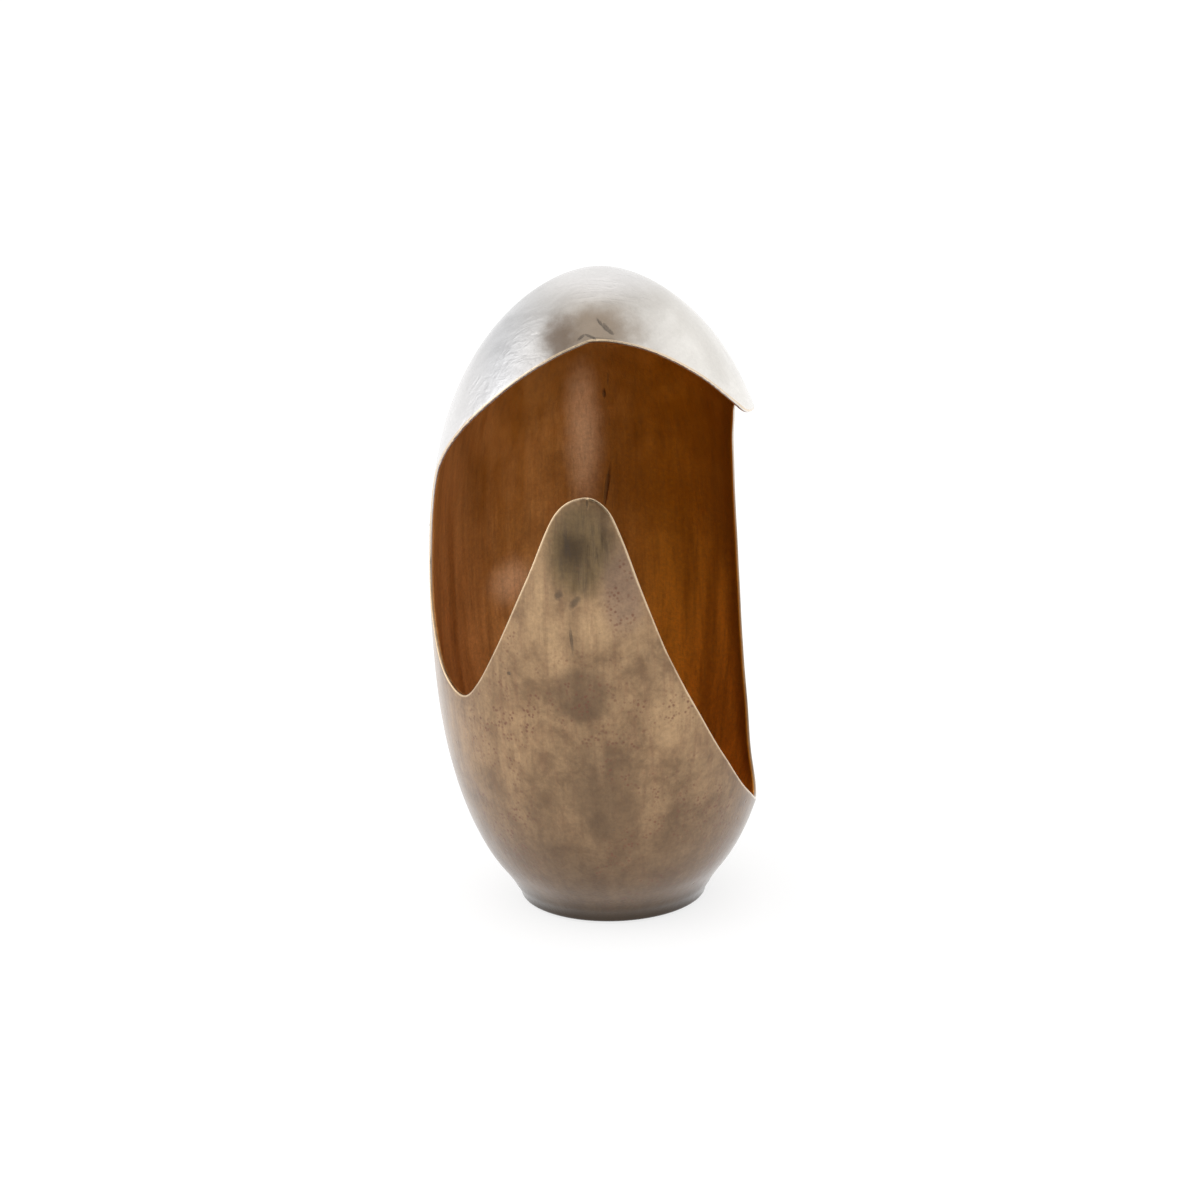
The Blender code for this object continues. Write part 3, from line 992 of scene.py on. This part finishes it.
def inner_skin(tree, weather, fine, axes, seam_shade, far_edge_shade):
    """Warm lacquered colour inside, redder and deeper towards the right, with painted light low down and by
    the far left edge, painted highlights on the back wall, and painted shade along the far right edge of the
    opening.
    """
    sideways = between(tree, axes["X"], -0.030, 0.050)
    left = blend(tree, weather["Cloud"], *INNER_LEFT)
    right = blend(tree, weather["Cloud"], *INNER_RIGHT)
    skin = blend(tree, sideways, left, right)
    # Painted light: the inside is made lighter low down and by the far left edge.
    low_down = between(tree, axes["Z"], 0.280, 0.150)
    left_edge = between(tree, axes["X"], -0.095, -0.118)
    light = calc(tree, "MAXIMUM", low_down, left_edge)
    skin = wash(tree, skin, light, 0.85, blend(tree, sideways, *INNER_LIT_LOW))
    skin = wash(tree, skin, weather["Bands"], 0.40, INNER_DARK)
    skin = wash(tree, skin, weather["Streaks"], 0.40, INNER_DARK)
    # Painted highlights on the inside back wall.
    painted_highlight = calc(tree, "MAXIMUM", stain(tree, HIGHLIGHT_BAND), stain(tree, HIGHLIGHT_SPOT))
    skin = wash(tree, skin, painted_highlight, 0.65, INNER_HIGHLIGHT)
    skin = wash(tree, skin, fine["Streaks"], 0.15, MARK_DARK)
    skin = wash(tree, skin, fine["Freckles"], 0.20, MARK_DARK)
    skin = wash(tree, skin, fine["Streaks"], seam_shade, MARK_DARK)
    # Painted shade along the opening's far right edge inside.
    by_rim = between(tree, stored(tree, "rim"), 0.45, 0.95)
    return wash(tree, skin, calc(tree, "MULTIPLY", far_edge_shade, by_rim), 0.85, INNER_DARK)


def patinated_brass(name, seam_shade):
    """Antique cast brass: tan and mottled outside, pale on the hood, warm and lacquered inside, with painted
    highlights, reflections and shade in its colour.
    """
    material, tree, shader = new_finish(name, Metallic=1.0, Coat_Roughness=0.24, Coat_IOR=1.36)
    weather = use_group(tree, WEATHERING, Scale=1.0)
    fine = use_group(tree, WEATHERING, Scale=3.4)
    split = add_node(tree, "ShaderNodeSeparateXYZ")
    feed(tree, split.inputs[0], object_place(tree))
    axes = split.outputs
    inside = between(tree, stored(tree, "depth"), 0.45, 0.80)
    # Mask of painted shade: the far right edge of the inside, to the right and back.
    at_right = between(tree, axes["X"], 0.0, 0.04)
    far_edge_shade = calc(tree, "MULTIPLY", at_right, between(tree, axes["Y"], 0.0, 0.04))

    outer, hood = outer_skin(tree, weather, fine, axes)
    inner = inner_skin(tree, weather, fine, axes, seam_shade, far_edge_shade)
    colour = blend(tree, inside, outer, inner)
    grain = between(tree, weather["Grain"], 0.30, 0.70)
    grain = calc(tree, "MULTIPLY", grain, ease(tree, hood, 0.24, 0.05))
    colour = blend(tree, grain, colour, MARK_DARK)
    marks = ease(tree, inside, all_marks(tree, OUTER_MARKS), all_marks(tree, INNER_MARKS))
    colour = wash(tree, colour, marks, 0.55, MARK_DARK)
    wear = use_group(tree, WEAR)["Wear"]
    # The rim's bright wear is kept faint in that painted shade.
    wear = calc(tree, "MULTIPLY", wear, ease(tree, far_edge_shade, 1.0, 0.25))
    colour = wash(tree, colour, wear, ease(tree, inside, 0.75, 0.30), RIM_BRIGHT)
    feed(tree, shader.inputs["Base Color"], colour)

    dull = ease(tree, weather["Cloud"], 0.42, 0.30)
    dull = ease(tree, hood, dull, 0.36)
    dull = ease(tree, inside, dull, 0.58)
    dull = calc(tree, "MULTIPLY_ADD", fine["Cloud"], 0.08, dull)
    feed(tree, shader.inputs["Roughness"], ease(tree, wear, dull, 0.24))
    outside = ease(tree, inside, 1.0, 0.0)
    feed(tree, shader.inputs["Coat Weight"], outside)

    ripple = ease(tree, inside, ease(tree, hood, 0.12, 0.50), 0.05)
    folds = share_of(tree, calc(tree, "MULTIPLY", hood, outside), 0.60)
    relief = use_group(tree, RELIEF, Ripple=ripple, Folds=folds)["Height"]
    relief = calc(tree, "MULTIPLY_ADD", marks, -MARK_SINK, relief)
    add_bump(tree, shader, relief, RELIEF_DEPTH)
    return material


def lacquered_sheet(name):
    """Sheet brass floor with turned rings under a warm lacquer."""
    material, tree, shader = new_finish(name, Metallic=1.0, Coat_Weight=0.3, Coat_Roughness=0.2)
    rings = use_group(tree, TURNED)
    colour = blend(tree, rings["Dull"], *reversed(INNER_LEFT))
    feed(tree, shader.inputs["Base Color"], colour)
    feed(tree, shader.inputs["Roughness"], ease(tree, rings["Dull"], 0.34, 0.50))
    add_bump(tree, shader, rings["Rings"], RING_DEPTH)
    return material


def pressed_felt(name):
    """Thin black felt: matted fibres with a little fluff."""
    material, tree, shader = new_finish(name, Roughness=0.95, Sheen_Weight=0.4, Sheen_Roughness=0.6)
    place = object_place(tree)
    matted = vector_calc(tree, "MULTIPLY", place, (1.0, 1.0, 0.4))
    fibres = noise(tree, matted, scale=900.0, detail=5.0, roughness=0.7, warp=1.5)
    colour = blend(tree, between(tree, fibres, 0.35, 0.7), *FELT_BLACK)
    feed(tree, shader.inputs["Base Color"], colour)
    add_bump(tree, shader, fibres, FIBRE_DEPTH)
    return material


# Making the pieces


def mark_skin(piece, skin, rim):
    """Stores on each vertex how deep it lies in the wall, and how near the opening's edge."""
    edge = KDTree(len(rim))
    for index, point in enumerate(rim):
        edge.insert(point, index)
    edge.balance()
    points = [vertex.co for vertex in piece.data.vertices]
    depth = [skin.find_nearest(point)[3] / WALL for point in points]
    near = [max(0.0, 1 - max(0.0, edge.find(point)[2] - RIM_SLACK) / RIM_REACH) for point in points]
    for name, values in (("depth", depth), ("rim", near)):
        attribute = piece.data.attributes.new(name, "FLOAT", "POINT")
        attribute.data.foreach_set("value", np.array(values, np.float32))


def flat_disc(name, low, high, rounding):
    """Round plate on the axis between two heights, its edges rounded and its faces ringed by insets."""
    size = {"radius": (high.x - low.x) / 2, "depth": high.z - low.z}
    place = (0, 0, (low.z + high.z) / 2)
    deselect_all()
    bpy.ops.mesh.primitive_cylinder_add(vertices=DISC_SIDES, location=place, **size)
    bpy.ops.object.transform_apply(location=True, rotation=True, scale=True)
    plate = bpy.context.object
    plate.name = name
    start_edit(plate, "EDGE")
    bpy.ops.mesh.select_all(action="SELECT")
    bpy.ops.mesh.edges_select_sharp(sharpness=SHARP)
    bpy.ops.mesh.bevel(offset=rounding, segments=4, affect="EDGES")
    bpy.ops.mesh.select_mode(type="FACE")
    for inset in DISC_INSETS:
        bpy.ops.mesh.select_all(action="DESELECT")
        pick(plate, "faces", lambda face: len(face.verts) == DISC_SIDES)
        bpy.ops.mesh.inset(thickness=inset)
    end_edit()
    return plate


def floor_disc():
    """Floor plate, dished a hair towards the middle."""
    plate = flat_disc("floor_disc", FLOOR_LOW, FLOOR_HIGH, FLOOR_ROUNDING)
    points = points_of(plate)
    out = np.hypot(points[:, 0], points[:, 1])
    top = points[:, 2] > (FLOOR_LOW.z + FLOOR_HIGH.z) / 2
    points[:, 2] -= np.where(top, FLOOR_DISH * smooth_step(DISH_RADIUS, 0.0, out), 0.0)
    put_points(plate, points)
    return plate


def felt_disc():
    """Felt glued under the foot."""
    return flat_disc("felt_disc", FELT_LOW, FELT_HIGH, FELT_ROUNDING)


def give(piece, material, node):
    """Smooth shading, finish, body, node and slot for one piece."""
    select_only(piece)
    bpy.ops.object.shade_smooth_by_angle(angle=SMOOTH)
    piece.data.materials.clear()
    piece.data.materials.append(material)
    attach(piece, "root")
    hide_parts(node)


shell, skin, rim = whole_casting()
left, right, hood_braze, bowl_braze = split_castings(shell)
for piece in (left, right, hood_braze, bowl_braze):
    mark_skin(piece, skin, rim)
brass = patinated_brass("patinated brass", seam_shade=0.0)
braze = patinated_brass("dressed braze", seam_shade=0.35)
give(left, brass, "left_half_shell")
give(right, brass, "right_half_shell")
give(hood_braze, braze, "hood_and_back_seam")
give(bowl_braze, braze, "bowl_seam")

give(floor_disc(), lacquered_sheet("lacquered sheet brass"), "floor_plate")
give(felt_disc(), pressed_felt("pressed black felt"), "foot_felt")

# Floor, camera and light

FLOOR_SIZE = 14
PAPER_GREY = 0.30
PAPER_GLOW = 0.76


def lit_paper(name):
    """White paper that glows of itself, so that only the egg's soft shadow shows on it."""
    material, _, shader = new_finish(name, Roughness=0.95, Emission_Strength=PAPER_GLOW)
    shader.inputs["Base Color"].default_value = (PAPER_GREY, PAPER_GREY, PAPER_GREY, 1)
    shader.inputs["Specular IOR Level"].default_value = 0.1
    shader.inputs["Emission Color"].default_value = (1, 1, 1, 1)
    return material


deselect_all()
bpy.ops.mesh.primitive_plane_add(size=FLOOR_SIZE)
floor = bpy.context.object
floor.name = "floor"
floor.data.materials.append(lit_paper("white paper"))

CAMERA_TURN = math.radians(3.0)
CAMERA_PITCH = math.radians(16.81)
CAMERA_ROLL = math.radians(-1.50)
CAMERA_PLACE = (0.1212, -2.3969, 0.945)
CAMERA_LENS = 106.2

camera_data = bpy.data.cameras.new("camera")
camera_data.sensor_width = 36.0
camera_data.lens = CAMERA_LENS
camera = bpy.data.objects.new("camera", camera_data)
bpy.context.scene.collection.objects.link(camera)
turn = Matrix.Rotation(CAMERA_TURN, 4, "Z")
tilt = Matrix.Rotation(math.pi / 2 - CAMERA_PITCH, 4, "X")
lean = Matrix.Rotation(CAMERA_ROLL, 4, "Z")
camera.matrix_world = Matrix.Translation(CAMERA_PLACE) @ turn @ tilt @ lean
bpy.context.scene.camera = camera

world = bpy.data.worlds.new("studio")
world.use_nodes = True
world.node_tree.nodes["Background"].inputs["Color"].default_value = (1, 1, 1, 1)
world.node_tree.nodes["Background"].inputs["Strength"].default_value = 1.0
bpy.context.scene.world = world
bpy.context.scene.view_settings.view_transform = "Standard"


def toward(azimuth, elevation):
    """Direction out from the egg: degrees round from the front, plus to +X, and degrees up."""
    around, up = math.radians(azimuth), math.radians(elevation)
    return Vector((math.sin(around) * math.cos(up), -math.cos(around) * math.cos(up), math.sin(up)))


def soft_light(name, azimuth, elevation, distance, width, height, power):
    """Large soft light aimed at the middle of the egg."""
    data = bpy.data.lights.new(name, "AREA")
    data.shape = "RECTANGLE"
    data.size = width
    data.size_y = height
    data.energy = power
    light = bpy.data.objects.new(name, data)
    bpy.context.scene.collection.objects.link(light)
    away = toward(azimuth, elevation)
    light.location = EGG_MIDDLE + away * distance
    light.rotation_euler = away.to_track_quat("Z", "Y").to_euler()


def dark_card(name, azimuth, elevation, distance, width, height):
    """Matt black card that only reflections see, as the dark of a studio behind the camera."""
    deselect_all()
    bpy.ops.mesh.primitive_grid_add(x_subdivisions=2, y_subdivisions=2, size=1)
    card = bpy.context.object
    card.name = name
    away = toward(azimuth, elevation)
    place = Matrix.Translation(EGG_MIDDLE + away * distance)
    facing = away.to_track_quat("Z", "Y").to_matrix().to_4x4()
    card.matrix_world = place @ facing @ Matrix.Diagonal((width, height, 1, 1))
    card.visible_camera = False
    card.visible_shadow = False
    card.visible_diffuse = False
    black = {"Base_Color": (0.01, 0.01, 0.01, 1.0), "Roughness": 1.0}
    card.data.materials.append(new_finish("black card", **black)[0])


EGG_MIDDLE = Vector((0, 0, HEIGHT / 2))
soft_light("left light", azimuth=-80, elevation=25, distance=2.0, width=1.4, height=1.8, power=9)
soft_light("top light", azimuth=0, elevation=85, distance=2.0, width=1.6, height=1.6, power=3)
dark_card("card behind the camera", azimuth=2, elevation=22, distance=2.9, width=1.9, height=1.5)
